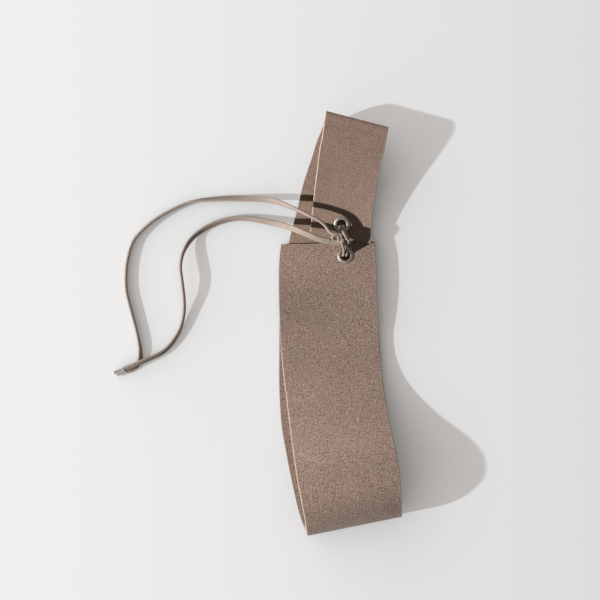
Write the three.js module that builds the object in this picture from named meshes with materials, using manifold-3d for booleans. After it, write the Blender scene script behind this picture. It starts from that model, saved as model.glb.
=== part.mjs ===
// Suede waist belt: one long curved, tapered strap folded into a loop and laid on a surface, its two ends drawn together by a lace
// through two eyelets and tied on top. Lengths in millimetres, +Z up from the surface, +Y along the belt as it lies.
import * as THREE from "three";
import { mergeVertices } from "three/addons/utils/BufferGeometryUtils.js";
import Module from "manifold-3d";

// ---- driving dimensions -------------------------------------------------------------------------------------------------------
const STRAP_THICKNESS = 1.8; // suede
const STRAP_SPANS_ACROSS = 4; // flats across the strap's width
const FLOOR_GAP = 0; // the back ply lies on the surface
const EYELET_HOLE = 8.0; // clear hole diameter
const EYELET_FLANGE = 13.6; // front flange diameter
const EYELET_BACK = 12.4; // rolled back diameter
const EYELET_BARREL_WALL = 0.5;
const FIT_GAP = 0.3; // clearance between neighbouring pieces
const LACE_WIDTH = 5.0; // flat braid
const LACE_DEPTH = 2.0;
const LACE_ROUND = 2 * Math.sqrt((LACE_WIDTH * LACE_DEPTH) / Math.PI); // round lace of the same cross-section
const KNOT_FACET = 1.05; // the facets of the knot's skin
const KNOT_DAB = 0.55;
const KNOT_SOFT = 0.12; // how softly its turns run into one another
const LOOP_ROUND = 2.8; // the lace squeezed together where it is doubled through the eyelets
const AGLET_ROUND = 3.6; // metal lace end
const AGLET_LENGTH = 9.0;

// The strap's two edges at mid thickness, from its wide end down the lower front ply, round the bottom fold, up the flat back ply,
// over the top fold and down the upper front ply to its narrow end.
// columns: place, left edge x, y, z, right edge x, y, z, spans to the next row
const SECTIONS = [
  ["wide end", -16.1, 47.85, 3.08, 64.9, 49.65, 7.95, 2],
  ["lap 1", -17.5, 36.0, 3.34, 64.7, 36.7, 9.44, 3],
  ["lap 2", -18.1, 15.4, 3.78, 65.2, 16.2, 9.83, 3],
  ["lap 3", -17.7, -10.3, 4.3, 66.2, -9.4, 8.62, 3],
  ["lap 4", -16.8, -34.2, 5.15, 67.7, -32.5, 5.92, 3],
  ["rise 1", -15.0, -56.4, 7.28, 69.2, -53.0, 6.6, 3],
  ["rise 2", -12.4, -78.3, 11.97, 71.2, -73.3, 10.28, 3],
  ["rise 3", -9.6, -99.8, 19.65, 74.1, -93.2, 16.69, 3],
  ["rise 4", -6.9, -120.0, 28.58, 77.6, -112.0, 24.54, 3],
  ["rise 5", -4.0, -139.2, 36.61, 81.0, -128.7, 32.73, 3],
  ["crest 1", -1.2, -156.0, 41.25, 82.9, -143.0, 38.17, 3],
  ["crest 2", 1.5, -169.9, 42.27, 83.8, -155.7, 39.97, 3],
  ["crest 3", 3.8, -181.8, 39.85, 84.6, -167.2, 38.25, 4],
  ["turn 1", 5.3, -195.0, 30.37, 85.4, -178.4, 29.66, 3],
  ["turn 2", 6.1, -198.1, 22.99, 86.1, -181.8, 22.47, 3],
  ["turn 3", 6.0, -198.7, 16.28, 86.0, -182.7, 15.93, 3],
  ["turn 4", 4.5, -196.8, 9.71, 84.4, -180.3, 9.55, 3],
  ["turn 5", 2.6, -192.3, 4.41, 82.4, -174.9, 4.36, 3],
  ["turn 6", 0.4, -186.3, 1.61, 80.1, -168.1, 1.6, 2],
  ["back 1", -1.4, -180.4, 0.9, 78.5, -161.7, 0.9, 2],
  ["back 2", -6.5, -158.4, 0.9, 73.3, -141.0, 0.9, 2],
  ["back 3", -11.5, -133.3, 0.9, 68.0, -118.7, 0.9, 2],
  ["back 4", -15.8, -107.5, 0.9, 62.8, -98.7, 0.9, 2],
  ["back 5", -17.7, -77.4, 0.9, 58.8, -75.0, 0.9, 2],
  ["back 6", -17.8, -44.7, 0.9, 55.3, -45.3, 0.9, 2],
  ["back 7", -17.2, -8.6, 0.9, 51.5, -11.8, 0.9, 2],
  ["back 8", -14.7, 21.5, 0.9, 50.1, 12.8, 0.9, 2],
  ["back 9", -9.1, 51.6, 0.9, 51.4, 38.3, 0.9, 2],
  ["back 10", -2.4, 77.4, 0.9, 55.2, 63.0, 0.9, 2],
  ["back 11", 2.9, 99.8, 0.9, 58.0, 84.4, 0.9, 2],
  ["back 12", 9.6, 120.3, 0.9, 62.3, 103.3, 0.9, 2],
  ["back 13", 15.1, 137.6, 0.9, 68.4, 124.6, 0.9, 2],
  ["top turn 1", 17.8, 144.1, 2.14, 69.6, 131.6, 1.98, 3],
  ["top turn 2", 19.9, 150.0, 6.19, 71.6, 137.5, 5.79, 3],
  ["top turn 3", 21.4, 154.4, 12.07, 73.3, 141.6, 11.47, 3],
  ["top turn 4", 21.8, 157.4, 18.96, 74.1, 143.7, 18.33, 3],
  ["top turn 5", 21.6, 158.3, 25.86, 74.4, 144.6, 24.96, 3],
  ["top turn 6", 21.5, 156.8, 31.04, 74.0, 143.7, 29.44, 4],
  ["fall 1", 19.8, 147.1, 34.06, 72.4, 134.9, 31.56, 3],
  ["fall 2", 18.7, 137.8, 33.94, 71.0, 126.6, 29.74, 3],
  ["fall 3", 16.6, 128.1, 31.5, 68.4, 117.6, 27.71, 3],
  ["fall 4", 15.1, 117.6, 27.72, 66.8, 108.6, 24.54, 3],
  ["fall 5", 14.0, 107.9, 23.3, 65.2, 99.6, 21.42, 3],
  ["fall 6", 12.7, 98.1, 18.74, 63.7, 90.5, 18.64, 3],
  ["fall 7", 11.7, 88.3, 14.56, 62.6, 81.4, 15.93, 3],
  ["fall 8", 10.7, 78.3, 10.92, 61.6, 72.3, 13.33, 3],
  ["fall 9", 9.6, 67.5, 7.45, 60.6, 61.3, 10.76, 3],
  ["narrow end", 8.6, 55.5, 5.46, 60.2, 48.1, 10.35, 0],
];

// Eyelet centres in plan: name, x, y, first and last section of the ply it is set in
const EYELETS = [
  ["eyelet_upper", 35.7, 64.7, "fall 6", "narrow end"],
  ["eyelet_lower", 38.9, 37.8, "wide end", "lap 3"],
];

// Centrelines. columns: x, y, z
const LONG_TAIL = [
  [24.7, 57.7, 24.3], [22.7, 60.5, 24.9], [20.5, 63.2, 25.6], [15.6, 67.1, 26.7], [8.4, 70.6, 27.1], [0.0, 74.8, 25.5],
  [-8.4, 78.7, 22.0], [-17.0, 82.4, 16.3], [-27.3, 85.1, 10.3], [-38.5, 86.5, 6.5], [-51.4, 86.9, 4.0], [-64.3, 87.0, 3.1],
  [-77.2, 86.3, 2.8], [-89.2, 85.0, 2.8], [-100.4, 81.9, 2.7], [-111.6, 76.7, 2.7], [-121.9, 70.8, 2.7], [-130.6, 64.3, 2.7],
  [-138.1, 57.0, 2.7], [-142.7, 51.1, 2.7], [-146.7, 40.3, 2.7], [-149.1, 26.2, 2.7], [-149.0, 8.6, 2.7], [-145.0, -8.6, 2.7],
  [-140.5, -25.7, 2.7], [-137.7, -38.6, 2.7], [-137.1, -46.3, 2.5], [-138.1, -52.6, 2.0], [-141.1, -56.7, 1.9], [-145.3, -59.2, 1.9],
  [-148.9, -60.7, 1.9],
];
const SHORT_TAIL = [
  [24.9, 49.5, 23.0], [16.9, 51.1, 23.9], [8.4, 54.5, 24.1], [0.0, 58.0, 22.4], [-10.2, 62.0, 15.9], [-21.3, 65.2, 8.9],
  [-34.2, 68.1, 5.7], [-45.4, 69.9, 4.0], [-56.6, 69.9, 3.1], [-67.8, 67.6, 2.7], [-78.1, 63.4, 2.7], [-86.2, 58.4, 3.0],
  [-93.0, 52.3, 4.2], [-97.4, 45.8, 6.0], [-100.9, 36.7, 8.3], [-101.9, 27.3, 9.8], [-100.7, 17.1, 10.1], [-99.4, 5.1, 8.6],
  [-99.0, -5.1, 6.0], [-100.0, -14.6, 4.0], [-102.5, -24.0, 3.0], [-106.4, -31.7, 2.8], [-112.1, -39.5, 2.8], [-118.8, -45.3, 3.4],
  [-127.2, -49.4, 4.6], [-136.1, -53.2, 5.9], [-143.8, -56.5, 5.9], [-150.7, -59.2, 5.5],
];
// The doubled lace from the knot down through the upper eyelet, under both ends, up through the lower eyelet and back to the knot
// columns: x, y, z
const LOOP_LEFT = [
  [34.3, 51.5, 22.9], [33.7, 53.8, 22.7], [33.7, 56.3, 21.7], [33.8, 58.6, 19.3], [34.0, 60.6, 15.5],
  [34.4, 62.0, 11.7], [34.6, 63.1, 9.0], [34.7, 63.0, 6.2], [35.1, 59.5, 4.5], [35.7, 52.7, 4.0],
  [36.5, 46.7, 3.6], [37.0, 42.9, 3.4], [37.0, 40.8, 3.5], [37.1, 39.2, 4.6], [37.1, 38.6, 6.9],
  [37.2, 39.1, 9.9], [37.4, 40.7, 12.7], [37.3, 42.6, 16.2], [37.0, 44.7, 19.4], [36.4, 46.8, 22.0],
  [35.4, 49.3, 23.2],
];
const LOOP_RIGHT = [
  [40.2, 52.1, 22.9], [38.6, 54.7, 23.2], [37.6, 56.7, 22.2], [37.1, 58.7, 19.8], [36.9, 60.6, 15.8],
  [36.6, 62.0, 11.9], [37.0, 63.2, 9.0], [37.2, 63.0, 6.2], [37.7, 59.5, 4.5], [38.5, 52.7, 4.0],
  [39.4, 46.7, 3.6], [39.8, 42.9, 3.5], [40.0, 40.8, 3.6], [40.2, 39.2, 4.6], [40.1, 38.5, 6.9],
  [40.0, 39.1, 9.6], [40.1, 41.0, 12.0], [40.1, 43.2, 13.9], [39.9, 45.3, 15.8], [39.8, 47.4, 18.1],
  [40.1, 49.7, 20.6],
];
// The knot's turns. columns: x, y, z
const KNOT_CORE = [
  [35.4, 59.7, 13.8], [35.5, 57.5, 14.3], [35.6, 55.2, 15.5], [35.8, 52.7, 17.2],
];
const KNOT_RING = [
  [25.6, 56.9, 23.7], [27.3, 56.2, 23.4], [30.4, 55.4, 22.7], [33.8, 54.7, 21.7], [36.9, 53.8, 20.5],
  [38.6, 52.0, 19.3], [38.4, 49.8, 18.6], [36.8, 48.4, 18.4], [34.5, 48.8, 18.9],
];
const KNOT_LEFT_TURN = [
  [35.0, 53.8, 21.0], [32.1, 53.7, 21.8], [28.7, 53.7, 22.5], [27.2, 52.4, 22.3], [28.4, 50.8, 21.7],
  [31.7, 50.0, 21.3], [35.2, 49.9, 20.6],
];
const KNOT_LEAD_IN = [
  [25.8, 49.5, 22.8], [29.1, 48.8, 22.2], [33.4, 48.3, 21.2], [36.3, 48.1, 18.4], [38.4, 47.8, 13.4],
  [39.4, 46.7, 11.4], [39.9, 45.2, 11.4], [39.8, 43.5, 11.8],
];
const KNOT_WRAP = [
  [32.6, 54.6, 20.6], [32.6, 53.5, 23.2], [32.8, 51.4, 23.7], [33.2, 49.4, 23.0], [33.6, 48.1, 20.8],
  [33.4, 49.1, 18.2], [33.0, 52.1, 17.4], [32.7, 54.4, 18.6],
];

const wasm = await Module();
wasm.setup();
const V = (p) => new THREE.Vector3(...p);

const solidOf = (geometry) => {
  const g = geometry.clone();
  for (const a of ["normal", "uv"]) if (g.getAttribute(a)) g.deleteAttribute(a);
  const m = mergeVertices(g, 1e-4);
  return new wasm.Manifold(
    new wasm.Mesh({
      numProp: 3,
      vertProperties: new Float32Array(m.attributes.position.array),
      triVerts: new Uint32Array(m.index.array),
    }),
  );
};
const geometryOf = (solid) => {
  const m = solid.getMesh(),
    p = new Float32Array(m.numVert * 3);
  for (let i = 0; i < m.numVert; i++)
    p.set(m.vertProperties.subarray(i * m.numProp, i * m.numProp + 3), i * 3);
  const g = new THREE.BufferGeometry();
  g.setAttribute("position", new THREE.BufferAttribute(p, 3));
  g.setIndex(new THREE.BufferAttribute(new Uint32Array(m.triVerts), 1));
  return g;
};

// ---- strap ----------------------------------------------------------------------------------------------------------------------
const rowIndex = (name) => SECTIONS.findIndex((r) => r[0] === name);
const edgeLeft = new THREE.CatmullRomCurve3(SECTIONS.map((r) => V(r.slice(1, 4))), false, "centripetal");
const edgeRight = new THREE.CatmullRomCurve3(SECTIONS.map((r) => V(r.slice(4, 7))), false, "centripetal");
const LAST = SECTIONS.length - 1;
const edgePoint = (curve, t) => {
  const p = curve.getPoint(Math.min(Math.max(t / LAST, 0), 1));
  p.z = Math.max(p.z, STRAP_THICKNESS / 2 + FLOOR_GAP);
  return p;
};
const edgeTangent = (curve, t) => {
  const h = 0.02,
    a = Math.max(t - h, 0),
    b = Math.min(t + h, LAST);
  return edgePoint(curve, b).sub(edgePoint(curve, a)).normalize();
};
// The strap's middle surface at row position t (0 at the wide end) and fraction c across from the left edge
const strapAt = (t, c) => {
  const l = edgePoint(edgeLeft, t),
    r = edgePoint(edgeRight, t);
  const along = edgeTangent(edgeLeft, t).lerp(edgeTangent(edgeRight, t), c).normalize();
  const across = r.clone().sub(l).normalize();
  return { point: l.lerp(r, c), along, across, normal: along.clone().cross(across).normalize() };
};
const stations = [];
SECTIONS.forEach((r, i) => {
  for (let k = 0; k < Math.max(r[7], 1); k++) stations.push(i + k / Math.max(r[7], 1));
});
const position = [],
  index = [];
const PER = 2 * (STRAP_SPANS_ACROSS + 1);
for (const t of stations)
  for (const side of [1, -1])
    for (let j = 0; j <= STRAP_SPANS_ACROSS; j++) {
      const c = (side > 0 ? j : STRAP_SPANS_ACROSS - j) / STRAP_SPANS_ACROSS;
      const s = strapAt(t, c);
      const p = s.point.addScaledVector(s.normal, (side * STRAP_THICKNESS) / 2);
      position.push(p.x, p.y, Math.max(p.z, FLOOR_GAP));
    }
for (let i = 0; i + 1 < stations.length; i++)
  for (let j = 0; j < PER; j++) {
    const a = i * PER + j,
      b = i * PER + ((j + 1) % PER),
      c = a + PER,
      d = b + PER;
    index.push(a, b, d, a, d, c);
  }
for (const [base, flip] of [[0, false], [(stations.length - 1) * PER, true]])
  for (let j = 0; j < STRAP_SPANS_ACROSS; j++) {
    const a = base + j,
      b = base + j + 1,
      c = base + PER - 2 - j,
      d = base + PER - 1 - j;
    if (flip) index.push(a, b, c, a, c, d);
    else index.push(a, c, b, a, d, c);
  }
const ribbon = new THREE.BufferGeometry();
ribbon.setAttribute("position", new THREE.BufferAttribute(new Float32Array(position), 3));
ribbon.setIndex(index);
let strap = solidOf(ribbon);
if (strap.volume() < 0) {
  for (let i = 0; i < index.length; i += 3) [index[i + 1], index[i + 2]] = [index[i + 2], index[i + 1]];
  ribbon.setIndex(index);
  strap = solidOf(ribbon);
}

// ---- eyelets --------------------------------------------------------------------------------------------------------------------
const seatOf = ([, x, y, from, to]) => {
  let best = null;
  const a = rowIndex(from),
    b = rowIndex(to);
  for (let i = 0; i <= 400; i++) {
    const t = a + ((b - a) * i) / 400;
    const l = edgePoint(edgeLeft, t),
      r = edgePoint(edgeRight, t);
    const gx = r.x - l.x,
      gy = r.y - l.y;
    const c = ((x - l.x) * gx + (y - l.y) * gy) / (gx * gx + gy * gy);
    const d = Math.hypot(l.x + gx * c - x, l.y + gy * c - y);
    if (!best || d < best.d) best = { d, t, c };
  }
  const s = strapAt(best.t, best.c);
  if (s.normal.z < 0) s.normal.negate();
  return s;
};
const stand = new THREE.Vector3(0, 1, 0); // the axis a turned profile stands on
const placed = (geometry, seat) =>
  geometry
    .applyQuaternion(new THREE.Quaternion().setFromUnitVectors(stand, seat.normal))
    .translate(seat.point.x, seat.point.y, seat.point.z);
const turned = (profile, seat, around) =>
  solidOf(placed(new THREE.LatheGeometry(profile.map(([r, h]) => new THREE.Vector2(r, h)), around), seat));

const half = STRAP_THICKNESS / 2 + FIT_GAP;
const barrel = EYELET_HOLE / 2 + EYELET_BARREL_WALL;
const eyeletProfile = [
  [barrel, half],
  [EYELET_FLANGE / 2 - 0.25, half],
  [EYELET_FLANGE / 2, half + 0.3],
  [EYELET_FLANGE / 2 - 0.3, half + 0.75],
  [EYELET_FLANGE / 2 - 1.0, half + 1.05],
  [EYELET_FLANGE / 2 - 1.9, half + 1.05],
  [EYELET_HOLE / 2 + 0.4, half + 0.75],
  [EYELET_HOLE / 2 + 0.08, half + 0.3],
  [EYELET_HOLE / 2, half - 0.3],
  [EYELET_HOLE / 2, -half + 0.2],
  [EYELET_HOLE / 2 + 0.12, -half - 0.35],
  [EYELET_HOLE / 2 + 0.6, -half - 0.75],
  [EYELET_HOLE / 2 + 1.3, -half - 0.85],
  [EYELET_BACK / 2 - 0.3, -half - 0.6],
  [EYELET_BACK / 2, -half - 0.2],
  [EYELET_BACK / 2 - 0.15, -half],
  [barrel, -half],
];
const closedLoop = (profile) => {
  const area = profile.reduce((s, [r, h], i) => {
    const [r2, h2] = profile[(i + 1) % profile.length];
    return s + r * h2 - r2 * h;
  }, 0);
  const p = area > 0 ? profile : [...profile].reverse();
  return [...p, p[0]];
};
const seats = new Map(EYELETS.map((e) => [e[0], seatOf(e)]));
const pieces = new Map();
for (const [name, seat] of seats) {
  const hole = turned([[0, -6], [barrel + FIT_GAP, -6], [barrel + FIT_GAP, 6], [0, 6]], seat, 40);
  // the suede is pressed flat under the flange and under the rolled back
  const face = STRAP_THICKNESS / 2;
  const pressedFront = turned([[0, face], [EYELET_FLANGE / 2 + 0.4, face], [EYELET_FLANGE / 2 + 0.4, 2.6], [0, 2.6]], seat, 40);
  const pressedBack = turned([[0, -2.6], [EYELET_BACK / 2 + 0.4, -2.6], [EYELET_BACK / 2 + 0.4, -face], [0, -face]], seat, 40);
  strap = strap.subtract(hole).subtract(pressedFront).subtract(pressedBack);
  pieces.set(name, turned(closedLoop(eyeletProfile), seat, 40));
}

// ---- lace -----------------------------------------------------------------------------------------------------------------------
const roundBar = (points, diameter, steps, sides = 8, closed = false) => {
  const curve = new THREE.CatmullRomCurve3(points.map(V), closed, "centripetal");
  const shape = new THREE.Shape();
  const r = diameter / 2 / Math.sqrt((sides * Math.sin((2 * Math.PI) / sides)) / (2 * Math.PI)); // same area as the circle
  for (let i = 0; i < sides; i++) {
    const a = ((i + 0.5) * 2 * Math.PI) / sides;
    shape[i ? "lineTo" : "moveTo"](r * Math.cos(a), r * Math.sin(a));
  }
  shape.closePath();
  return solidOf(new THREE.ExtrudeGeometry(shape, { steps, bevelEnabled: false, extrudePath: curve }));
};
// The knot's turns press into one another, so their round bars are joined as one rounded skin.
// columns: path, diameter, steps, closed
const KNOT_BARS = [
  [LOOP_LEFT, LOOP_ROUND, 68, true],
  [LOOP_RIGHT, LOOP_ROUND, 68, true],
  [KNOT_CORE, LACE_ROUND, 10, false],
  [KNOT_RING, LACE_ROUND, 30, false],
  [KNOT_LEFT_TURN, LACE_ROUND, 24, false],
  [KNOT_LEAD_IN, LACE_ROUND, 24, false],
  [KNOT_WRAP, LACE_ROUND, 30, true],
];
const bars = [];
for (const [path, diameter, steps, closed] of KNOT_BARS) {
  const curve = new THREE.CatmullRomCurve3(path.map(V), closed, "centripetal");
  let line = curve.getSpacedPoints(steps);
  if (!closed) line = line.filter((q) => q.distanceTo(line[0]) > diameter / 2 + 0.1); // the rounded end reaches back to the path's start
  for (let k = 0; k + 1 < line.length; k++) bars.push([line[k], line[k + 1].clone().sub(line[k]), diameter / 2]);
}
const skin = ([x, y, z]) => {
  let sum = 0;
  for (const [a, d, r] of bars) {
    const px = x - a.x,
      py = y - a.y,
      pz = z - a.z;
    const t = Math.min(Math.max((px * d.x + py * d.y + pz * d.z) / d.lengthSq(), 0), 1);
    const deep = r - Math.hypot(px - d.x * t, py - d.y * t, pz - d.z * t);
    if (deep > -4) sum += Math.exp((deep - 0.08) / KNOT_SOFT);
  }
  return sum ? KNOT_SOFT * Math.log(sum) : -4;
};
const reach = new THREE.Box3().setFromPoints(bars.map(([a]) => a)).expandByScalar(3);
const shell = wasm.Manifold.levelSet(skin, { min: reach.min.toArray(), max: reach.max.toArray() }, KNOT_FACET, 0, 0.01);
// the pockets closed in between the turns are solid
const largest = (solid) => solid.decompose().reduce((a, b) => (b.volume() > a.volume() ? b : a));
let knot = largest(shell);
// middles of the edges where the skin only just touches itself; a small dab fills each
const touches = (solid) => {
  const g = geometryOf(solid),
    p = g.getAttribute("position"),
    index = g.getIndex().array,
    seen = new Map();
  const corner = (i) => [p.getX(i), p.getY(i), p.getZ(i)].map((x) => Math.round(x * 1000));
  for (let i = 0; i < index.length; i++) {
    const a = corner(index[i]),
      b = corner(index[i % 3 === 2 ? i - 2 : i + 1]);
    const key = [a, b].map(String).sort().join(" ");
    if (!seen.has(key)) seen.set(key, { count: 0, middle: a.map((x, k) => (x + b[k]) / 2000) });
    seen.get(key).count++;
  }
  return [...seen.values()].filter((e) => e.count > 2).map((e) => e.middle);
};
for (let round = 0; round < 8; round++) {
  const spots = touches(knot);
  if (!spots.length) break;
  for (const spot of spots) knot = knot.add(solidOf(new THREE.IcosahedronGeometry(KNOT_DAB + round * 0.07, 0).translate(...spot)));
  knot = largest(knot.simplify(0.01));
}

pieces.set("strap", strap);
pieces.set("lace_knot", knot);
pieces.set("lace_tail_long", roundBar(LONG_TAIL, LACE_ROUND, 78));
pieces.set("lace_tail_short", roundBar(SHORT_TAIL, LACE_ROUND, 70));

const aglet = (tail) => {
  const end = V(tail[tail.length - 1]),
    before = V(tail[tail.length - 2]);
  const dir = end.clone().sub(before).setZ(0).normalize();
  const start = end.clone().addScaledVector(dir, FIT_GAP);
  const r = AGLET_ROUND / 2;
  const profile = [[0, 0], [r - 0.15, 0], [r, 0.15], [r, AGLET_LENGTH - 0.5], [r - 0.5, AGLET_LENGTH], [0, AGLET_LENGTH]];
  return turned(profile, { normal: dir, point: start }, 20);
};
pieces.set("aglet_long", aglet(LONG_TAIL));
pieces.set("aglet_short", aglet(SHORT_TAIL));

// ---- the part's own frame: origin under the middle of the belt, tails and aglets left out ---------------------------------------
const box = new THREE.Box3();
for (const name of ["strap", "eyelet_upper", "eyelet_lower", "lace_knot"]) {
  const b = pieces.get(name).boundingBox();
  box.union(new THREE.Box3(V(b.min), V(b.max)));
}
const origin = [(box.min.x + box.max.x) / 2, (box.min.y + box.max.y) / 2, box.min.z];

const MATERIALS = {
  suede: new THREE.MeshStandardMaterial({ color: 0x8f796c, roughness: 0.95, metalness: 0, name: "suede" }),
  lace: new THREE.MeshStandardMaterial({ color: 0xb8a899, roughness: 0.9, metalness: 0, name: "lace" }),
  metal: new THREE.MeshStandardMaterial({ color: 0xa9a7a2, roughness: 0.35, metalness: 1, name: "metal" }),
};
const group = new THREE.Group();
group.name = "suede_belt";
for (const [name, solid] of pieces) {
  const g = geometryOf(solid);
  g.translate(-origin[0], -origin[1], -origin[2]);
  const material = name.startsWith("strap") ? MATERIALS.suede : name.startsWith("lace") ? MATERIALS.lace : MATERIALS.metal;
  const mesh = new THREE.Mesh(g, material.clone());
  mesh.name = name;
  group.add(mesh);
}
export default group;
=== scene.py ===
"""Suede waist belt lying folded in a loop, its ends drawn together by a flat lace through two eyelets and tied on top."""
import math

import bmesh
import bpy
import numpy as np
from mathutils import Matrix, Vector


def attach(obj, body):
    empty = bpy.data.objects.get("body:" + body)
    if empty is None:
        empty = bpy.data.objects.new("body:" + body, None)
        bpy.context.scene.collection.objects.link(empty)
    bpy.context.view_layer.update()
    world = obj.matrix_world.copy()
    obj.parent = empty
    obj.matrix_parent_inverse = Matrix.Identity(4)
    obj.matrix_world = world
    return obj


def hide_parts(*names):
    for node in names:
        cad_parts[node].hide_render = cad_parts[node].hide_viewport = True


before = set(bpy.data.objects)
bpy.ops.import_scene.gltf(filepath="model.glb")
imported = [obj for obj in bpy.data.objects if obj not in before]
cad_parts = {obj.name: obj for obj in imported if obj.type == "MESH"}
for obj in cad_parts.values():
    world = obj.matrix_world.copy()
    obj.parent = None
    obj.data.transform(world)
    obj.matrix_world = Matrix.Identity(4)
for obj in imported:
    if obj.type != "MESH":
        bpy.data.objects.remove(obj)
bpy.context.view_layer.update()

MM = 0.001
ORIGIN = np.array([34.091, -20.237, 0.0])  # from the measuring frame to the part's own frame, mm


def part(p):
    """Measuring-frame millimetres to the part's frame in metres."""
    return (np.asarray(p, float) - ORIGIN) * MM


# ---------------------------------------------------------------------------------------------------------------- camera
scene = bpy.context.scene
SCALE = 0.86  # mm per pixel at the surface
DISTANCE = 1412 * SCALE * MM
cam_data = bpy.data.cameras.new("camera")
cam = bpy.data.objects.new("camera", cam_data)
scene.collection.objects.link(cam)
cam_data.sensor_width = 36.0
cam_data.lens = 36.0 * 1412 / 600
cam_data.clip_start, cam_data.clip_end = 0.01, 50
cam.location = Vector(part([0, 0, 0])) + Vector((0, 0, DISTANCE))
cam.rotation_euler = (0, 0, 0)
scene.camera = cam

# ---------------------------------------------------------------------------------------------------------------- curves
def catmull(points, per=24, closed=False):
    """Centripetal Catmull-Rom through the points: returns a function of the row position t."""
    P = np.asarray(points, float)
    n = len(P)

    def at(t):
        t = np.clip(np.atleast_1d(np.asarray(t, float)), 0, n - 1)
        i = np.minimum(t.astype(int), n - 2)
        w = (t - i)[:, None]
        p1, p2 = P[i], P[i + 1]
        p0 = np.where((i > 0)[:, None], P[np.maximum(i - 1, 0)], 2 * P[0] - P[1])
        p3 = np.where((i + 2 < n)[:, None], P[np.minimum(i + 2, n - 1)], 2 * P[-1] - P[-2])
        d0 = np.sqrt(np.linalg.norm(p1 - p0, axis=1))[:, None]
        d1 = np.sqrt(np.linalg.norm(p2 - p1, axis=1))[:, None]
        d2 = np.sqrt(np.linalg.norm(p3 - p2, axis=1))[:, None]
        d1 = np.maximum(d1, 1e-4)
        d0 = np.where(d0 < 1e-4, d1, d0)
        d2 = np.where(d2 < 1e-4, d1, d2)
        t1 = ((p1 - p0) / d0 - (p2 - p0) / (d0 + d1) + (p2 - p1) / d1) * d1
        t2 = ((p2 - p1) / d1 - (p3 - p1) / (d1 + d2) + (p3 - p2) / d2) * d1
        c2 = -3 * p1 + 3 * p2 - 2 * t1 - t2
        c3 = 2 * p1 - 2 * p2 + t1 + t2
        return p1 + t1 * w + c2 * w**2 + c3 * w**3

    return at


def even(at, last, step, sub=40):
    """Row positions spaced evenly along the curve, and the lengths from its start."""
    t = np.linspace(0, last, int(last * sub) + 1)
    p = at(t)
    s = np.concatenate([[0], np.cumsum(np.linalg.norm(np.diff(p, axis=0), axis=1))])
    count = max(int(round(s[-1] / step)), 2)
    want = np.linspace(0, s[-1], count + 1)
    return np.interp(want, s, t), want


def unit(v):
    return v / np.maximum(np.linalg.norm(v, axis=-1, keepdims=True), 1e-12)


def mesh_object(name, verts, faces, materials=(), index=None, smooth=True, attributes=None, uv=None):
    me = bpy.data.meshes.new(name)
    me.from_pydata([tuple(v) for v in verts], [], [tuple(f) for f in faces])
    for m in materials:
        me.materials.append(m)
    if index is not None:
        me.polygons.foreach_set("material_index", np.asarray(index, np.int32))
    for key, values in (attributes or {}).items():
        a = me.attributes.new(key, "FLOAT", "POINT")
        a.data.foreach_set("value", np.asarray(values, np.float32))
    if uv is not None:
        layer = me.uv_layers.new(name="UVMap")
        loops = np.zeros(len(me.loops), np.int32)
        me.loops.foreach_get("vertex_index", loops)
        layer.data.foreach_set("uv", np.asarray(uv, np.float32)[loops].ravel())
    me.update()
    if smooth:
        me.shade_smooth()
    ob = bpy.data.objects.new(name, me)
    scene.collection.objects.link(ob)
    return ob


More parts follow.
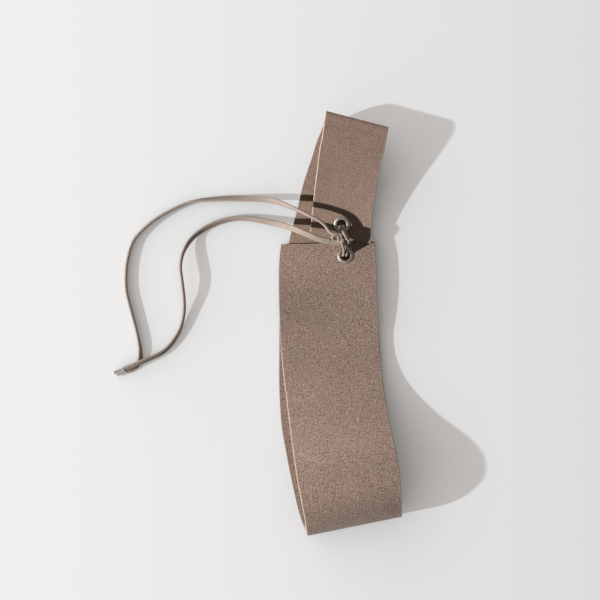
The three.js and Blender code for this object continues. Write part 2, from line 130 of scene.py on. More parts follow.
# ------------------------------------------------------------------------------------------------------------- materials
class Nodes:
    """A short way to write a node material."""

    def __init__(self, name):
        self.m = bpy.data.materials.new(name)
        self.m.use_nodes = True
        self.t = self.m.node_tree
        self.t.nodes.clear()
        self.out = self.t.nodes.new("ShaderNodeOutputMaterial")
        self.bsdf = self.t.nodes.new("ShaderNodeBsdfPrincipled")
        self.t.links.new(self.bsdf.outputs[0], self.out.inputs[0])

    def add(self, kind, **inputs):
        n = self.t.nodes.new(kind)
        for k, v in inputs.items():
            if k.startswith("_"):
                setattr(n, k[1:], v)
        for k, v in inputs.items():
            if not k.startswith("_"):
                self.put(n, k, v)
        return n

    def put(self, n, k, v):
        key = int(k[1:]) if k[0] == "i" and k[1:].isdigit() else k.replace("__", " ")
        s = n.inputs[key]
        if isinstance(v, bpy.types.NodeSocket):
            self.t.links.new(v, s)
        else:
            s.default_value = v

    def coords(self):
        return self.add("ShaderNodeTexCoord").outputs["Object"]

    def mapped(self, vector, scale):
        return self.add("ShaderNodeMapping", Vector=vector, Scale=scale).outputs[0]

    def noise(self, vector, scale, detail=2.0, rough=0.5, distortion=0.0):
        return self.add("ShaderNodeTexNoise", Vector=vector, Scale=scale, Detail=detail, Roughness=rough, Distortion=distortion).outputs[0]

    def voronoi(self, vector, scale, feature="F1", random=1.0):
        n = self.add("ShaderNodeTexVoronoi", _feature=feature, Vector=vector, Scale=scale, Randomness=random)
        return n.outputs["Distance"]

    def math(self, op, a, b=0.0, c=None):
        n = self.add("ShaderNodeMath", _operation=op, i0=a, i1=b)
        if c is not None:
            self.put(n, "i2", c)
        return n.outputs[0]

    def ramp(self, value, low, high, to_low=0.0, to_high=1.0):
        n = self.add("ShaderNodeMapRange", Value=value)
        n.inputs["From Min"].default_value = low
        n.inputs["From Max"].default_value = high
        n.inputs["To Min"].default_value = to_low
        n.inputs["To Max"].default_value = to_high
        return n.outputs[0]

    def mix(self, factor, a, b, blend="MIX"):
        n = self.t.nodes.new("ShaderNodeMix")
        n.data_type = "RGBA"
        n.blend_type = blend
        n.clamp_factor = True
        for s, v in ((n.inputs[0], factor), (n.inputs[6], a), (n.inputs[7], b)):
            if isinstance(v, bpy.types.NodeSocket):
                self.t.links.new(v, s)
            elif isinstance(v, (tuple, list)):
                s.default_value = (*v[:3], 1.0)
            else:
                s.default_value = v
        return n.outputs[2]

    def attribute(self, name):
        return self.add("ShaderNodeAttribute", _attribute_name=name).outputs["Fac"]

    def bump(self, height, distance, strength=1.0, normal=None):
        n = self.add("ShaderNodeBump", Height=height, Distance=distance, Strength=strength)
        if normal is not None:
            self.put(n, "Normal", normal)
        return n.outputs[0]

    def finish(self, **inputs):
        for k, v in inputs.items():
            self.put(self.bsdf, k, v)
        return self.m


# Painted light and shade along the strap: its colour is made paler or darker by turns, most at the narrow fold, where
# the grazing sun leaves it dark. columns: metres from the wide end, brightness at the left and at the right
PAINTED_SHADING_ALONG = [
    (0.01, 1.02, 0.90), (0.054, 0.79, 0.89), (0.093, 1.06, 0.96), (0.137, 1.40, 1.17), (0.174, 1.63, 1.38), (0.205, 1.27, 1.10), (0.238, 0.90, 0.72),
    (0.27, 1.0, 1.0), (0.60, 1.0, 1.0), (0.622, 1.7, 1.7), (0.632, 1.99, 1.99), (0.6368, 1.99, 1.99),
    (0.638, 1.82, 1.65), (0.6395, 1.6, 1.36), (0.641, 1.33, 1.18), (0.6425, 1.24, 1.12), (0.644, 1.12, 1.08), (0.648, 1.0, 0.92), (0.652, 0.98, 0.88), (0.694, 0.80, 0.96),
]


def suede(name, base, warm, cool, light):
    """Napped suede: broad brushed patches, clouded mottling, a fine fibrous nap and its relief, with painted light and
    shade along the strap.
    """
    n = Nodes(name)
    co = n.coords()
    place = n.add("ShaderNodeSeparateXYZ", Vector=n.add("ShaderNodeUVMap", _uv_map="UVMap").outputs[0])
    along = place.outputs[1]
    broad = n.noise(n.mapped(co, (34, 22, 34)), 1.0, 3.0, 0.55, 0.6)
    cloud = n.noise(co, 130.0, 4.0, 0.6, 0.3)
    tint = n.noise(co, 75.0, 3.0, 0.6, 0.4)
    nap = n.noise(co, 900.0, 2.0, 0.6)
    fibre = n.noise(co, 1900.0, 0.0, 0.5)
    blush = n.noise(co, 210.0, 2.0, 0.6)
    coarse = n.ramp(along, 0.3, 0.5, 1.0, 0.6)  # the wide end's suede is the more open one
    c = n.mix(n.ramp(broad, 0.32, 0.68), base, warm)
    c = n.mix(n.ramp(cloud, 0.35, 0.75, 0.0, 0.7), c, cool)
    c = n.mix(n.ramp(tint, 0.38, 0.62), c, n.mix(1.0, c, (1.10, 0.97, 0.97), "MULTIPLY"))
    c = n.mix(n.ramp(blush, 0.42, 0.60), c, n.mix(1.0, c, (1.05, 0.985, 0.98), "MULTIPLY"))
    c = n.mix(n.math("MULTIPLY", n.ramp(nap, 0.52, 0.76, 0.0, 0.32), coarse), c, light)
    dark = tuple(v * 0.38 for v in base)
    c = n.mix(n.math("MULTIPLY", n.ramp(nap, 0.48, 0.24, 0.0, 0.26), coarse), c, dark)
    c = n.mix(n.math("MULTIPLY", n.ramp(fibre, 0.508, 0.566, 0.0, 1.0), coarse), c, light)
    c = n.mix(n.math("MULTIPLY", n.ramp(fibre, 0.482, 0.42, 0.0, 0.9), coarse), c, dark)
    # painted light and shade along the strap, from the table above, blended from the left edge to the right edge
    painted_shading_ramps = []
    for side in (1, 2):
        painted_shading_ramp = n.add("ShaderNodeValToRGB", Fac=n.math("DIVIDE", along, 0.8))
        stops = painted_shading_ramp.color_ramp.elements
        stops[0].position, stops[1].position = PAINTED_SHADING_ALONG[0][0] / 0.8, PAINTED_SHADING_ALONG[-1][0] / 0.8
        for row in PAINTED_SHADING_ALONG[1:-1]:
            stops.new(row[0] / 0.8)
        for stop, row in zip(stops, PAINTED_SHADING_ALONG):
            stop.color = (row[side] / 2, row[side] / 2, row[side] / 2, 1.0)
        painted_shading_ramp.color_ramp.interpolation = "EASE"
        painted_shading_ramps.append(painted_shading_ramp.outputs[0])
    shade = n.math("MULTIPLY", n.mix(n.ramp(place.outputs[0], -0.03, 0.03), painted_shading_ramps[0], painted_shading_ramps[1]), 2.0)
    c = n.add("ShaderNodeVectorMath", _operation="SCALE", Vector=c, Scale=shade).outputs[0]
    height = n.math("ADD", n.math("MULTIPLY", nap, 0.7), n.math("MULTIPLY", fibre, 0.3))
    normal = n.bump(height, 0.0003, 0.6)
    return n.finish(
        Base__Color=c, Roughness=0.95, Normal=normal,
        Sheen__Weight=0.12, Sheen__Roughness=0.6, Specular__IOR__Level=0.15,
    )


def cut_edge(name):
    """The raw edge of the suede, layered and fibrous; its pale colour is partly the edge's own fibre and partly a
    painted highlight where the low light catches it.
    """
    n = Nodes(name)
    co = n.coords()
    a = n.noise(co, 500.0, 3.0, 0.6)
    b = n.noise(co, 1800.0, 2.0, 0.6)
    # pale edge colour: partly the edge's own fibre, partly a painted highlight
    c = n.mix(n.ramp(a, 0.3, 0.7), (0.40, 0.325, 0.275), (0.53, 0.445, 0.38))
    c = n.mix(n.ramp(b, 0.55, 0.8, 0.0, 0.5), c, (0.38, 0.28, 0.22))
    rise = n.add("ShaderNodeSeparateXYZ", Vector=co).outputs[2]
    c = n.mix(n.ramp(rise, 0.0045, 0.008), (0.20, 0.148, 0.118), c)  # painted shade: darker low down, where the edge lies against the surface and catches no light
    return n.finish(Base__Color=c, Roughness=0.95, Normal=n.bump(b, 0.0002, 0.6), Specular__IOR__Level=0.1)


def braid(name):
    """Flat braided cotton lace: paler strands, with painted shade in the grooves between them."""
    n = Nodes(name)
    co = n.coords()
    relief = n.attribute("relief")
    a = n.noise(co, 700.0, 3.0, 0.6)
    b = n.noise(co, 2800.0, 2.0, 0.6)
    c = n.mix(n.ramp(a, 0.3, 0.7), (0.347, 0.277, 0.237), (0.415, 0.345, 0.300))
    # painted shade: darkened where the braid's relief is low, in the grooves between the stitches
    c = n.mix(n.ramp(relief, 0.64, 0.32, 0.0, 0.9), c, (0.15, 0.108, 0.085))
    c = n.mix(n.ramp(b, 0.55, 0.85, 0.0, 0.35), c, (0.45, 0.385, 0.34))
    return n.finish(Base__Color=c, Roughness=0.9, Normal=n.bump(b, 0.0001, 0.6), Sheen__Weight=0.08, Sheen__Roughness=0.5, Specular__IOR__Level=0.15)


def nickel(name, color, rough=0.26):
    """Satin nickel with fine brushing, small scuffs and slightly dulled patches."""
    n = Nodes(name)
    co = n.coords()
    scuff = n.noise(co, 900.0, 4.0, 0.7)
    fine = n.noise(n.mapped(co, (1, 1, 6)), 2600.0, 2.0, 0.6)
    patch = n.noise(co, 220.0, 2.0, 0.5)
    dull = tuple(v * 0.72 for v in color)
    c = n.mix(n.ramp(patch, 0.45, 0.75, 0.0, 0.6), color, dull)
    r = n.ramp(scuff, 0.3, 0.75, rough * 0.8, rough * 1.5)
    return n.finish(Base__Color=c, Metallic=1.0, Roughness=r, Normal=n.bump(n.math("ADD", scuff, fine), 0.00004, 0.4))


SUEDE = suede("suede", (0.262, 0.186, 0.146), (0.302, 0.208, 0.163), (0.234, 0.176, 0.132), (0.40, 0.30, 0.245))
EDGE = cut_edge("suede_cut_edge")
LACE = braid("lace_braid")
NICKEL = nickel("eyelet_nickel", (0.272, 0.252, 0.229), 0.44)
AGLET = nickel("aglet_nickel", (0.72, 0.70, 0.68), 0.22)

# ----------------------------------------------------------------------------------------------------------------- strap
THICK = 1.8
# The strap's two edges at mid thickness, mm. columns: left edge x, y, z, right edge x, y, z
SECTIONS = [
    (-16.1, 47.85, 3.08, 64.9, 49.65, 7.95), (-17.5, 36.0, 3.34, 64.7, 36.7, 9.44), (-18.1, 15.4, 3.78, 65.2, 16.2, 9.83),
    (-17.7, -10.3, 4.3, 66.2, -9.4, 8.62), (-16.8, -34.2, 5.15, 67.7, -32.5, 5.92), (-15.0, -56.4, 7.28, 69.2, -53.0, 6.6),
    (-12.4, -78.3, 11.97, 71.2, -73.3, 10.28), (-9.6, -99.8, 19.65, 74.1, -93.2, 16.69), (-6.9, -120.0, 28.58, 77.6, -112.0, 24.54),
    (-4.0, -139.2, 36.61, 81.0, -128.7, 32.73), (-1.2, -156.0, 41.25, 82.9, -143.0, 38.17), (1.5, -169.9, 42.27, 83.8, -155.7, 39.97),
    (3.8, -181.8, 39.85, 84.6, -167.2, 38.25), (5.3, -195.0, 30.37, 85.4, -178.4, 29.66), (6.1, -198.1, 22.99, 86.1, -181.8, 22.47),
    (6.0, -198.7, 16.28, 86.0, -182.7, 15.93), (4.5, -196.8, 9.71, 84.4, -180.3, 9.55), (2.6, -192.3, 4.41, 82.4, -174.9, 4.36),
    (0.4, -186.3, 1.61, 80.1, -168.1, 1.6), (-1.4, -180.4, 0.9, 78.5, -161.7, 0.9), (-6.5, -158.4, 0.9, 73.3, -141.0, 0.9),
    (-11.5, -133.3, 0.9, 68.0, -118.7, 0.9), (-15.8, -107.5, 0.9, 62.8, -98.7, 0.9), (-17.7, -77.4, 0.9, 58.8, -75.0, 0.9),
    (-17.8, -44.7, 0.9, 55.3, -45.3, 0.9), (-17.2, -8.6, 0.9, 51.5, -11.8, 0.9), (-14.7, 21.5, 0.9, 50.1, 12.8, 0.9),
    (-9.1, 51.6, 0.9, 51.4, 38.3, 0.9), (-2.4, 77.4, 0.9, 55.2, 63.0, 0.9), (2.9, 99.8, 0.9, 58.0, 84.4, 0.9),
    (9.6, 120.3, 0.9, 62.3, 103.3, 0.9), (15.1, 137.6, 0.9, 68.4, 124.6, 0.9), (17.8, 144.1, 2.14, 69.6, 131.6, 1.98),
    (19.9, 150.0, 6.19, 71.6, 137.5, 5.79), (21.4, 154.4, 12.07, 73.3, 141.6, 11.47), (21.8, 157.4, 18.96, 74.1, 143.7, 18.33),
    (21.6, 158.3, 25.86, 74.4, 144.6, 24.96), (21.5, 156.8, 31.04, 74.0, 143.7, 29.44), (19.8, 147.1, 34.06, 72.4, 134.9, 31.56),
    (18.7, 137.8, 33.94, 71.0, 126.6, 29.74), (16.6, 128.1, 31.5, 68.4, 117.6, 27.71), (15.1, 117.6, 27.72, 66.8, 108.6, 24.54),
    (14.0, 107.9, 23.3, 65.2, 99.6, 21.42), (12.7, 98.1, 18.74, 63.7, 90.5, 18.64), (11.7, 88.3, 14.56, 62.6, 81.4, 15.93),
    (10.7, 78.3, 10.92, 61.6, 72.3, 13.33), (9.6, 67.5, 7.45, 60.6, 61.3, 10.76), (8.6, 55.5, 5.46, 60.2, 48.1, 10.35),
]
# columns: centre x, y, z, axis x, y, z (mm in the measuring frame)
SEATS = {
    "eyelet_upper": ((35.697, 64.672, 9.207), (-0.0851, -0.1832, 0.9794)),
    "eyelet_lower": ((38.900, 37.764, 7.448), (-0.0737, 0.0651, 0.9952)),
}
rows = np.array(SECTIONS)
LAST = len(rows) - 1
_left, _right = catmull(rows[:, :3]), catmull(rows[:, 3:])


def edge_at(curve, t):
    p = curve(t)
    p[:, 2] = np.maximum(p[:, 2], THICK / 2)
    return p


def strap_grid():
    t_even, s = even(lambda t: (edge_at(_left, t) + edge_at(_right, t)) / 2, LAST, 1.75)
    length = s[-1]
    # extra rows next to the two cut ends, where the edge is rounded
    near = np.array([0.08, 0.28, 0.6])
    extra_s = np.concatenate([near, length - near[::-1]])
    t_all = np.interp(np.sort(np.concatenate([s, extra_s])), s, t_even)
    s_all = np.sort(np.concatenate([s, extra_s]))
    h = 0.02
    L, R = edge_at(_left, t_all), edge_at(_right, t_all)
    dL = unit(edge_at(_left, np.minimum(t_all + h, LAST)) - edge_at(_left, np.maximum(t_all - h, 0)))
    dR = unit(edge_at(_right, np.minimum(t_all + h, LAST)) - edge_at(_right, np.maximum(t_all - h, 0)))
    width = np.linalg.norm(R - L, axis=1)
    across = unit(R - L)
    # the cross-section: inner points on both faces, and a rounded cut edge at each side. columns: distance from the edge mm, height share
    round_edge = [(0.8, 1.0), (0.4, 0.94), (0.12, 0.74), (0.0, 0.38), (0.0, -0.38), (0.12, -0.74), (0.4, -0.94), (0.8, -1.0)]
    inner = np.linspace(0, 1, 55)[1:-1]
    end_scale = np.ones(len(s_all))
    for d, k in ((0.0, 0.36), (0.08, 0.70), (0.28, 0.93)):
        end_scale[np.abs(s_all - d) < 1e-6] = k
        end_scale[np.abs(s_all - (length - d)) < 1e-6] = k
    columns = []  # (share across from the left, offset mm, height share, is edge)
    for c in inner[::-1]:
        columns.append((c, 0.0, -1.0, 0))
    for d, hgt in round_edge[::-1]:
        columns.append((0.0, d, hgt, 1))
    for c in inner:
        columns.append((c, 0.0, 1.0, 0))
    for d, hgt in round_edge:
        columns.append((1.0, -d, hgt, 1))
    verts, uv = [], []
    for c, d, hgt, _ in columns:
        along = unit(dL * (1 - c) + dR * c)
        n = unit(np.cross(along, across))
        # keep inner points clear of the rounded edge
        cc = np.clip(c, 1.1 / width, 1 - 1.1 / width) if 0 < c < 1 else np.full(len(width), c)
        mid = L + (R - L) * cc[:, None] + across * d
        verts.append(mid + n * (hgt * THICK / 2 * end_scale)[:, None])
        uv.append(np.stack([(cc - 0.5) * width * MM + d * MM, s_all * MM], 1))
    verts = np.array(verts).transpose(1, 0, 2)
    uv = np.array(uv).transpose(1, 0, 2)
    verts[:, :, 2] = np.maximum(verts[:, :, 2], 0.0)
    return verts, uv, columns, length


grid, grid_uv, columns, STRAP_LENGTH = strap_grid()
rows_n, cols_n = grid.shape[:2]
faces, index = [], []
is_edge = [c[3] for c in columns]
for i in range(rows_n - 1):
    end_row = i < 3 or i >= rows_n - 4
    for j in range(cols_n):
        k = (j + 1) % cols_n
        faces.append((i * cols_n + j, i * cols_n + k, (i + 1) * cols_n + k, (i + 1) * cols_n + j))
        index.append(1 if is_edge[j] and is_edge[k] else 0)
# caps: pair the two faces' columns across the thickness
half_n = len([c for c in columns if not c[3] and c[2] < 0])
bottom = list(range(half_n - 1, -1, -1))  # left to right on the under face
top = [j for j, c in enumerate(columns) if not c[3] and c[2] > 0]
left_ring = list(range(half_n, half_n + 8))  # under to upper at the left edge
right_ring = list(range(cols_n - 8, cols_n))  # upper to under at the right edge
for base, flip in ((0, True), ((rows_n - 1) * cols_n, False)):
    quads = []
    for a in range(len(top) - 1):
        quads.append((bottom[a], bottom[a + 1], top[a + 1], top[a]))
    quads.append(tuple([bottom[0]] + [top[0]] + left_ring[::-1]))
    quads.append(tuple([top[-1]] + [bottom[-1]] + right_ring[::-1]))
    for q in quads:
        q = tuple(base + x for x in q)
        faces.append(q if not flip else q[::-1])
        index.append(1)
strap = mesh_object("strap_suede", part(grid.reshape(-1, 3)), faces, (SUEDE, EDGE), index, uv=grid_uv.reshape(-1, 2))
bm = bmesh.new()
bm.from_mesh(strap.data)
bmesh.ops.recalc_face_normals(bm, faces=bm.faces)
bm.to_mesh(strap.data)
bm.free()


def frame_of(axis):
    z = Vector(axis).normalized()
    x = Vector((1, 0, 0))
    x = (x - z * x.dot(z)).normalized()
    return Matrix((x, z.cross(x), z)).transposed()


def lathe(name, profile, seat, materials, around=96, closed=True, ripple=None):
    """A turned piece about its seat's axis. profile columns: radius, height (mm)."""
    centre, axis = seat
    M = np.array(frame_of(axis))
    P = np.asarray(profile, float)
    a = np.linspace(0, 2 * math.pi, around, endpoint=False)
    verts = []
    for r, hgt in P:
        rr = r if ripple is None else r * (1 + ripple(a, hgt))
        ring = np.stack([rr * np.cos(a), rr * np.sin(a), np.full(around, hgt)], 1)
        verts.append(ring @ M.T + np.asarray(centre))
    verts = np.concatenate(verts)
    n = len(P)
    f = []
    for i in range(n if closed else n - 1):
        for j in range(around):
            k = (j + 1) % around
            i2 = (i + 1) % n
            f.append((i * around + j, i * around + k, i2 * around + k, i2 * around + j))
    ob = mesh_object(name, part(verts), f, materials)
    b = bmesh.new()
    b.from_mesh(ob.data)
    if not closed:
        for ring in (0, (n - 1) * around):
            b.verts.ensure_lookup_table()
            b.faces.new([b.verts[ring + j] for j in range(around)])
    bmesh.ops.recalc_face_normals(b, faces=b.faces)
    b.to_mesh(ob.data)
    b.free()
    ob.data.shade_smooth()
    return ob


for key, seat in SEATS.items():
    cutter = lathe("cutter_" + key, [(4.75, -5), (4.75, 5)], seat, (EDGE,), around=64, closed=False)
    mod = strap.modifiers.new("hole", "BOOLEAN")
    mod.operation = "DIFFERENCE"
    mod.solver = "EXACT"
    mod.object = cutter
    dg = bpy.context.evaluated_depsgraph_get()
    holed = bpy.data.meshes.new_from_object(strap.evaluated_get(dg))
    strap.modifiers.clear()
    old = strap.data
    strap.data = holed
    bpy.data.meshes.remove(old)
    bpy.data.objects.remove(cutter)
strap.data.name = "strap_suede"
print("strap polygons", len(strap.data.polygons), "materials", [m.name for m in strap.data.materials])
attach(strap, "root")
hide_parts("strap")

# --------------------------------------------------------------------------------------------------------------- eyelets
def arc(cx, cy, rx, ry, a0, a1, n):
    return [(cx + rx * math.cos(math.radians(a)), cy + ry * math.sin(math.radians(a))) for a in np.linspace(a0, a1, n)]


HALF = THICK / 2
eyelet_profile = (
    [(4.5, HALF + 0.05), (6.55, HALF + 0.03)]
    + arc(6.35, HALF + 0.35, 0.45, 0.35, -50, 60, 7)
    + [(6.05, HALF + 0.78), (5.6, HALF + 0.95), (5.15, HALF + 1.0)]
    + arc(4.75, HALF + 0.5, 0.75, 0.5, 80, 180, 8)
    + [(4.0, HALF - 0.2), (4.0, -HALF + 0.2)]
    + arc(4.85, -HALF - 0.4, 0.85, 0.5, 180, 275, 7)
    + [(5.6, -HALF - 0.8), (6.0, -HALF - 0.45), (5.95, -HALF - 0.1), (4.5, -HALF - 0.05)]
)
eyelets = []
for key, seat in SEATS.items():
    e = lathe(key + "_ring", eyelet_profile, seat, (NICKEL,), around=112)
    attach(e, "root")
    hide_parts(key)
    eyelets.append(e)

# ------------------------------------------------------------------------------------------------------------------ lace
WIDE, DEEP = 5.0, 2.3


def lace_mesh(name, points, width=WIDE, depth=DEEP, step=0.25, around=42, slack=1.0, over=1e9):
    """A flat braided lace swept along the points.
    columns: x, y, z, and either the roll in degrees (0 lies flat, 90 stands on edge) or the width direction x, y, z."""
    P = np.asarray(points, float)
    at = catmull(P)
    t, s = even(lambda q: at(q)[:, :3], len(P) - 1, step)
    V = at(t)
    C = V[:, :3]
    T = unit(np.gradient(C, axis=0))
    if P.shape[1] == 4:
        roll = np.radians(V[:, 3])
        side = unit(np.cross(np.array([0, 0, 1.0]), T))
        up = unit(np.cross(T, side))
        W = side * np.cos(roll)[:, None] + up * np.sin(roll)[:, None]
    else:
        W = V[:, 3:6]
        W = unit(W - T * np.sum(W * T, axis=1, keepdims=True))
    N = unit(np.cross(T, W))
    # section: flat faces and rounded selvedges, its points evenly spaced round the perimeter
    a = np.linspace(0, 2 * math.pi, 1441)
    ring = np.stack([np.sign(np.cos(a)) * np.abs(np.cos(a)) ** 0.6 * width / 2, np.sign(np.sin(a)) * np.abs(np.sin(a)) ** 0.62 * depth / 2], 1)
    run = np.append(0, np.cumsum(np.linalg.norm(np.diff(ring, axis=0), axis=1)))
    share = (np.arange(around) + 0.5) / around
    X, Y = (np.interp(share * run[-1], run, ring[:, k]) for k in (0, 1))
    # braid relief: columns of slanted stitches all round, leaning alternately, one of them on each selvedge
    pitch = 2.25
    count = 6
    q = share * count + 0.5
    col = q.astype(int) % count
    frac = q - np.floor(q)
    lean = np.where(col % 2 == 0, 1.0, -1.0)
    phase = 0.5 + s[:, None] / pitch + lean[None, :] * (frac[None, :] - 0.5) * 0.7
    relief = np.abs(np.sin(math.pi * phase)) ** 0.7 * (0.62 + 0.38 * np.sin(math.pi * np.clip(frac, 0.03, 0.97))[None, :] ** 0.5)
    loose = slack + (1 - slack) * np.clip(s / over, 0, 1)  # pulled tight it is smoother, and so are the selvedges
    relief = 1 - (1 - relief) * loose[:, None] * np.where(col % 3 == 0, 0.55, 1.0)[None, :]
    lift = (relief - 0.6) * 0.2
    nx, ny = unit(np.stack([X / (width / 2) ** 2, Y / (depth / 2) ** 2], 1)).T
    XX = X[None, :] + nx[None, :] * lift
    YY = Y[None, :] + ny[None, :] * lift
    verts = C[:, None, :] + W[:, None, :] * XX[:, :, None] + N[:, None, :] * YY[:, :, None]
    n = len(C)
    f = []
    for i in range(n - 1):
        for j in range(around):
            k = (j + 1) % around
            f.append((i * around + j, i * around + k, (i + 1) * around + k, (i + 1) * around + j))
    flat = verts.reshape(-1, 3)
    rel = relief.reshape(-1)
    for i in (0, n - 1):
        flat = np.concatenate([flat, C[i][None, :]])
        rel = np.concatenate([rel, [0.6]])
        centre = len(flat) - 1
        for j in range(around):
            k = (j + 1) % around
            f.append((centre, i * around + k, i * around + j) if i == 0 else (centre, i * around + j, i * around + k))
    ob = mesh_object(name, part(flat), f, (LACE,), attributes={"relief": rel}, uv=np.stack([np.append(np.tile(X, n), [0, 0]) * MM, np.append(np.repeat(s, around), [s[0], s[-1]]) * MM], 1))
    b = bmesh.new()
    b.from_mesh(ob.data)
    bmesh.ops.recalc_face_normals(b, faces=b.faces)
    b.to_mesh(ob.data)
    b.free()
    ob.data.shade_smooth()
    return ob, C, s[-1]


# columns: x, y, z, roll
LONG_TAIL = [
    (24.7, 57.7, 24.3, -86), (22.7, 60.5, 24.9, -88), (20.5, 63.2, 25.6, -90), (15.6, 67.1, 26.7, -90), (8.4, 70.6, 27.1, -86), (0.0, 74.8, 25.5, -76),
    (-8.4, 78.7, 22.0, -60), (-17.0, 82.4, 16.3, -42), (-27.3, 85.1, 10.3, -18), (-38.5, 86.5, 6.5, 6), (-51.4, 86.9, 4.0, 24), (-64.3, 87.0, 3.1, 34),
    (-77.2, 86.3, 2.8, 52), (-89.2, 85.0, 2.8, 74), (-100.4, 81.9, 2.7, 90), (-111.6, 76.7, 2.7, 91), (-121.9, 70.8, 2.7, 91), (-130.6, 64.3, 2.7, 91),
    (-138.1, 57.0, 2.7, 91), (-142.7, 51.1, 2.7, 91), (-146.7, 40.3, 2.7, 91), (-149.1, 26.2, 2.7, 91), (-149.0, 8.6, 2.7, 91), (-145.0, -8.6, 2.7, 91),
    (-140.5, -25.7, 2.7, 91), (-137.7, -38.6, 2.7, 104), (-137.1, -46.3, 2.5, 120), (-138.1, -52.6, 2.0, 156), (-141.1, -56.7, 1.9, 170), (-145.3, -59.2, 1.9, 174),
    (-148.9, -60.7, 1.9, 174),
]
SHORT_TAIL = [
    (24.9, 49.5, 23.0, -22), (16.9, 51.1, 23.9, -22), (8.4, 54.5, 24.1, -25), (0.0, 58.0, 22.4, -28), (-10.2, 62.0, 15.9, -30), (-21.3, 65.2, 8.9, -33),
    (-34.2, 68.1, 5.7, -38), (-45.4, 69.9, 4.0, -43), (-56.6, 69.9, 3.1, -48), (-67.8, 67.6, 2.7, -48), (-78.1, 63.4, 2.7, -46), (-86.2, 58.4, 3.0, -48),
    (-93.0, 52.3, 4.2, -56), (-97.4, 45.8, 6.0, -66), (-100.9, 36.7, 8.3, -80), (-101.9, 27.3, 9.8, -86), (-100.7, 17.1, 10.1, -84), (-99.4, 5.1, 8.6, -81),
    (-99.0, -5.1, 6.0, -80), (-100.0, -14.6, 4.0, -78), (-102.5, -24.0, 3.0, -72), (-106.4, -31.7, 2.8, -64), (-112.1, -39.5, 2.8, -56), (-118.8, -45.3, 3.4, -52),
    (-127.2, -49.4, 4.6, -50), (-136.1, -53.2, 5.9, -48), (-143.8, -56.5, 5.9, -46), (-150.7, -59.2, 5.5, -44),
]
long_tail, long_line, LONG_LENGTH = lace_mesh("lace_tail_long_braid", LONG_TAIL, slack=0.65, over=70.0)
short_tail, short_line, SHORT_LENGTH = lace_mesh("lace_tail_short_braid", SHORT_TAIL, slack=0.65, over=70.0)

knot_parts = []
# the doubled lace through the two eyelets. columns: x, y, z, width direction x, y, z
LOOP_LEFT = [
    (34.3, 51.5, 22.9, 0.9, 0, 0.3), (33.7, 53.8, 22.7, 0.93, 0, 0.35), (33.7, 56.3, 21.7, 0.93, 0, 0.35), (33.8, 58.6, 19.3, 0.93, 0, 0.35),
    (34.0, 60.6, 15.5, 0.93, 0, 0.25), (34.4, 62.0, 11.7, 0.9, 0, 0.1), (34.6, 63.1, 9.0, 0.9, 0, 0), (34.7, 63.0, 6.2, 0.9, 0, 0),
    (35.1, 59.5, 4.5, 0.9, 0, 0), (35.7, 52.7, 4.0, 0.9, 0, 0), (36.5, 46.7, 3.6, 0.9, 0, 0), (37.0, 42.9, 3.4, 0.9, 0, 0),
    (37.0, 40.8, 3.5, 0.9, 0, 0), (37.1, 39.2, 4.6, 0.9, 0, 0), (37.1, 38.6, 6.9, 0.7, 0.4, 0), (37.2, 39.1, 9.9, 0.4, 0.7, -0.4),
    (37.4, 40.7, 12.7, 0.2, 0.75, -0.6), (37.3, 42.6, 16.2, 0.2, 0.75, -0.6), (37.0, 44.7, 19.4, 0.3, 0.7, -0.65), (36.4, 46.8, 22.0, 0.5, 0.6, -0.5),
    (35.4, 49.3, 23.2, 0.8, 0.3, 0),
]
LOOP_RIGHT = [
    (40.2, 52.1, 22.9, 0.6, 0, -0.6), (38.6, 54.7, 23.2, 0.85, 0, -0.55), (37.6, 56.7, 22.2, 0.85, 0, -0.55), (37.1, 58.7, 19.8, 0.9, 0, -0.4),
    (36.9, 60.6, 15.8, 0.97, 0, 0.1), (36.6, 62.0, 11.9, 0.9, 0, 0.1), (37.0, 63.2, 9.0, 0.9, 0, 0), (37.2, 63.0, 6.2, 0.9, 0, 0),
    (37.7, 59.5, 4.5, 0.9, 0, 0), (38.5, 52.7, 4.0, 0.9, 0, 0), (39.4, 46.7, 3.6, 0.9, 0, 0), (39.8, 42.9, 3.5, 0.9, 0, 0),
    (40.0, 40.8, 3.6, 0.9, 0, 0), (40.2, 39.2, 4.6, 0.9, 0, 0), (40.1, 38.5, 6.9, 0.7, 0.4, 0), (40.0, 39.1, 9.6, 0.4, 0.7, -0.4),
    (40.1, 41.0, 12.0, 0.3, 0.75, -0.6), (40.1, 43.2, 13.9, 0.3, 0.75, -0.6), (39.9, 45.3, 15.8, 0.3, 0.7, -0.65), (39.8, 47.4, 18.1, 0.3, 0.6, -0.7),
    (40.1, 49.7, 20.6, 0.4, 0.3, 0.8),
]
for side, path in (("left", LOOP_LEFT), ("right", LOOP_RIGHT)):
    knot_parts.append(lace_mesh("loop_" + side, path + path[:1], 3.5, 1.8, slack=0.55)[0])
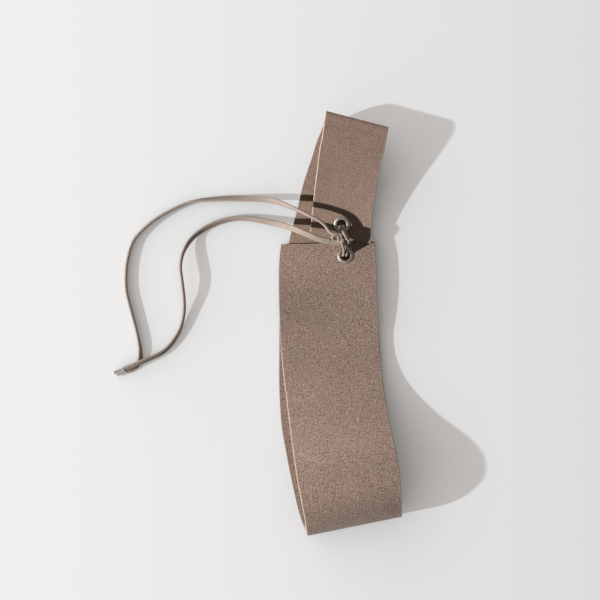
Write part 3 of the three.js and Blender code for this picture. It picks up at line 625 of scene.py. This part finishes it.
# the knot's turns. columns: x, y, z, width direction x, y, z
CORE = [
    (35.4, 59.7, 13.8, 0, 0.5, 0.86), (35.5, 57.5, 14.3, 0, 0.3, 0.95), (35.6, 55.2, 15.5, 0, 0.3, 0.95), (35.8, 52.7, 17.2, 0, 0.3, 0.95),
]
RING = [
    (24.7, 57.7, 24.3, 0.09, 0.06, 0.99), (27.3, 56.2, 23.4, 0.1, 0.4, 0.9), (30.4, 55.4, 22.7, 0, 0.6, 0.8), (33.8, 54.7, 21.7, 0.05, 0.7, 0.7),
    (36.9, 53.8, 20.5, 0.3, 0.6, 0.75), (38.6, 52.0, 19.3, 0.3, 0.2, 0.93), (38.4, 49.8, 18.6, 0.2, 0, 0.98), (36.8, 48.4, 18.4, 0, 0.4, 0.9),
    (34.5, 48.8, 18.9, 0, 0.5, 0.86),
]
LEFT_TURN = [
    (35.0, 53.8, 21.0, 0, 0.5, 0.86), (32.1, 53.7, 21.8, 0, 0.45, 0.9), (28.7, 53.7, 22.5, 0, 0.3, 0.95), (27.2, 52.4, 22.3, 0, 0, 1),
    (28.4, 50.8, 21.7, 0, -0.2, 0.98), (31.7, 50.0, 21.3, 0, -0.35, 0.93), (35.2, 49.9, 20.6, 0, -0.3, 0.95),
]
LEAD_IN = [
    (24.9, 49.5, 23.0, 0.19, 0.91, 0.37), (29.1, 48.8, 22.2, 0.08, 0.93, 0.36), (33.4, 48.3, 21.2, -0.1, 0.9, 0.4), (36.3, 48.1, 18.4, -0.2, 0.8, 0.5),
    (38.4, 47.8, 13.4, 0.1, 0.6, 0.75), (39.4, 46.7, 11.4, 0.1, 0.5, 0.85), (39.9, 45.2, 11.4, 0.2, 0.6, 0.7), (39.8, 43.5, 11.8, 0.2, 0.75, -0.6),
]
WRAP = [
    (32.6, 54.6, 20.6, 1, 0, 0), (32.6, 53.5, 23.2, 1, 0, -0.3), (32.8, 51.4, 23.7, 1, 0, -0.35), (33.2, 49.4, 23.0, 1, 0, -0.3),
    (33.6, 48.1, 20.8, 1, 0, 0), (33.4, 49.1, 18.2, 1, 0, 0), (33.0, 52.1, 17.4, 1, 0, 0), (32.7, 54.4, 18.6, 1, 0, 0),
    (32.6, 54.6, 20.7, 1, 0, 0),
]
knot_parts.append(lace_mesh("core", CORE, 4.4, 3.0, slack=0.55)[0])
knot_parts.append(lace_mesh("ring", RING, 4.6, 1.8, slack=0.55)[0])
knot_parts.append(lace_mesh("left_turn", LEFT_TURN, 4.4, 2.3, slack=0.45)[0])
knot_parts.append(lace_mesh("lead_in", LEAD_IN, 4.7, 2.1, slack=0.55)[0])
knot_parts.append(lace_mesh("wrap", WRAP, 2.6, 1.7, slack=0.45)[0])
bpy.ops.object.select_all(action="DESELECT")
for o in knot_parts:
    o.select_set(True)
bpy.context.view_layer.objects.active = knot_parts[0]
bpy.ops.object.join()
knot = knot_parts[0]
knot.name = knot.data.name = "lace_knot_braid"
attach(knot, "root")
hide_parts("lace_knot")

# ---------------------------------------------------------------------------------------------------------------- aglets
def aglet(name, line, node):
    end, before = line[-1], line[-6]
    d = end - before
    d[2] = 0
    d = d / np.linalg.norm(d)
    start = end + d * 0.05
    r = 1.75
    profile = (
        [(1.25, 0.6), (1.35, 0.05)] + arc(1.55, 0.2, 0.2, 0.2, 200, 360, 6)
        + [(r, 1.6), (r - 0.12, 1.9), (r - 0.12, 2.2), (r, 2.5), (r, 8.2)]
        + arc(r - 0.35, 8.6, 0.35, 0.4, 0, 90, 6) + [(0.9, 9.0), (0.75, 8.9), (0.7, 8.2), (0.02, 8.1), (0.02, 0.6)]
    )
    ob = lathe(name, profile, (tuple(start), tuple(d)), (AGLET,), around=48, closed=True)
    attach(ob, "root")
    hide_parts(node)
    return ob


aglet_long = aglet("aglet_long_tip", long_line, "aglet_long")
aglet_short = aglet("aglet_short_tip", short_line, "aglet_short")

for ob, line, node, tip, length in (
    (long_tail, long_line, "lace_tail_long", aglet_long, LONG_LENGTH),
    (short_tail, short_line, "lace_tail_short", aglet_short, SHORT_LENGTH),
):
    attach(ob, "root")
    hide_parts(node)

# ----------------------------------------------------------------------------------------------------- floor, light, world
def floor_material():
    """Pale paper that glows evenly as a painted soft light, with painted shade where the belt is close by (ambient
    occlusion), painted extra glow past the narrow fold and a painted falloff from left to right.
    """
    n = Nodes("floor_paper")
    co = n.coords()
    tilt = n.add("ShaderNodeCombineXYZ", X=-0.66, Y=-0.04, Z=0.75).outputs[0]
    # painted shade: the glow is dimmed where the belt is close by, by ambient occlusion tilted toward the left
    painted_shade_ao = n.add("ShaderNodeAmbientOcclusion", Distance=0.10, Normal=tilt)
    painted_shade_ao.samples = 16
    place = n.add("ShaderNodeSeparateXYZ", Vector=co)
    x = place.outputs[0]
    seen = painted_shade_ao.outputs["AO"]
    painted_glow_past_fold = n.ramp(place.outputs[1], 0.12, 0.175, 0.0, 0.65)  # painted extra glow past the narrow fold, lifting the painted shade there
    painted_glow = n.math("MULTIPLY_ADD", n.math("SUBTRACT", 1.0, seen), painted_glow_past_fold, seen)
    # painted falloff of the glow from left to right
    across = n.ramp(x, -0.25, 0.25, 0.062, -0.085)
    strength = n.math("MULTIPLY", painted_glow, n.math("ADD", across, 0.525))
    return n.finish(Base__Color=(0.25, 0.283, 0.306, 1.0), Roughness=0.95, Specular__IOR__Level=0.1, Emission__Color=(1.065, 1.0, 0.966, 1.0), Emission__Strength=strength)


floor = mesh_object("floor", [(-4, -4, -0.0003), (4, -4, -0.0003), (4, 4, -0.0003), (-4, 4, -0.0003)], [(0, 1, 2, 3)], (floor_material(),), smooth=False)

LIGHT_FROM = Vector((-1.865, -0.347, 1.0)).normalized()
sun_data = bpy.data.lights.new("key", "SUN")
sun_data.energy = 1.79 * math.pi
sun_data.angle = math.radians(1.6)
sun_data.color = (1.0, 0.985, 0.965)
sun = bpy.data.objects.new("key", sun_data)
sun.rotation_euler = LIGHT_FROM.to_track_quat("Z", "Y").to_euler()
scene.collection.objects.link(sun)

world = bpy.data.worlds.new("studio")
scene.world = world
world.use_nodes = True
nodes, links = world.node_tree.nodes, world.node_tree.links
background = nodes["Background"]
background.inputs[0].default_value = (1.0, 0.93, 0.87, 1.0)
# the studio's bright walls show in the metal, and give little light of their own
ray = nodes.new("ShaderNodeLightPath")
walls = nodes.new("ShaderNodeMapRange")
walls.inputs["To Min"].default_value = 0.15
walls.inputs["To Max"].default_value = 0.48
links.new(ray.outputs["Is Glossy Ray"], walls.inputs["Value"])
links.new(walls.outputs[0], background.inputs[1])

scene.view_settings.view_transform = "Standard"
scene.view_settings.look = "None"
scene.view_settings.exposure = 0.0
scene.view_settings.gamma = 1.0
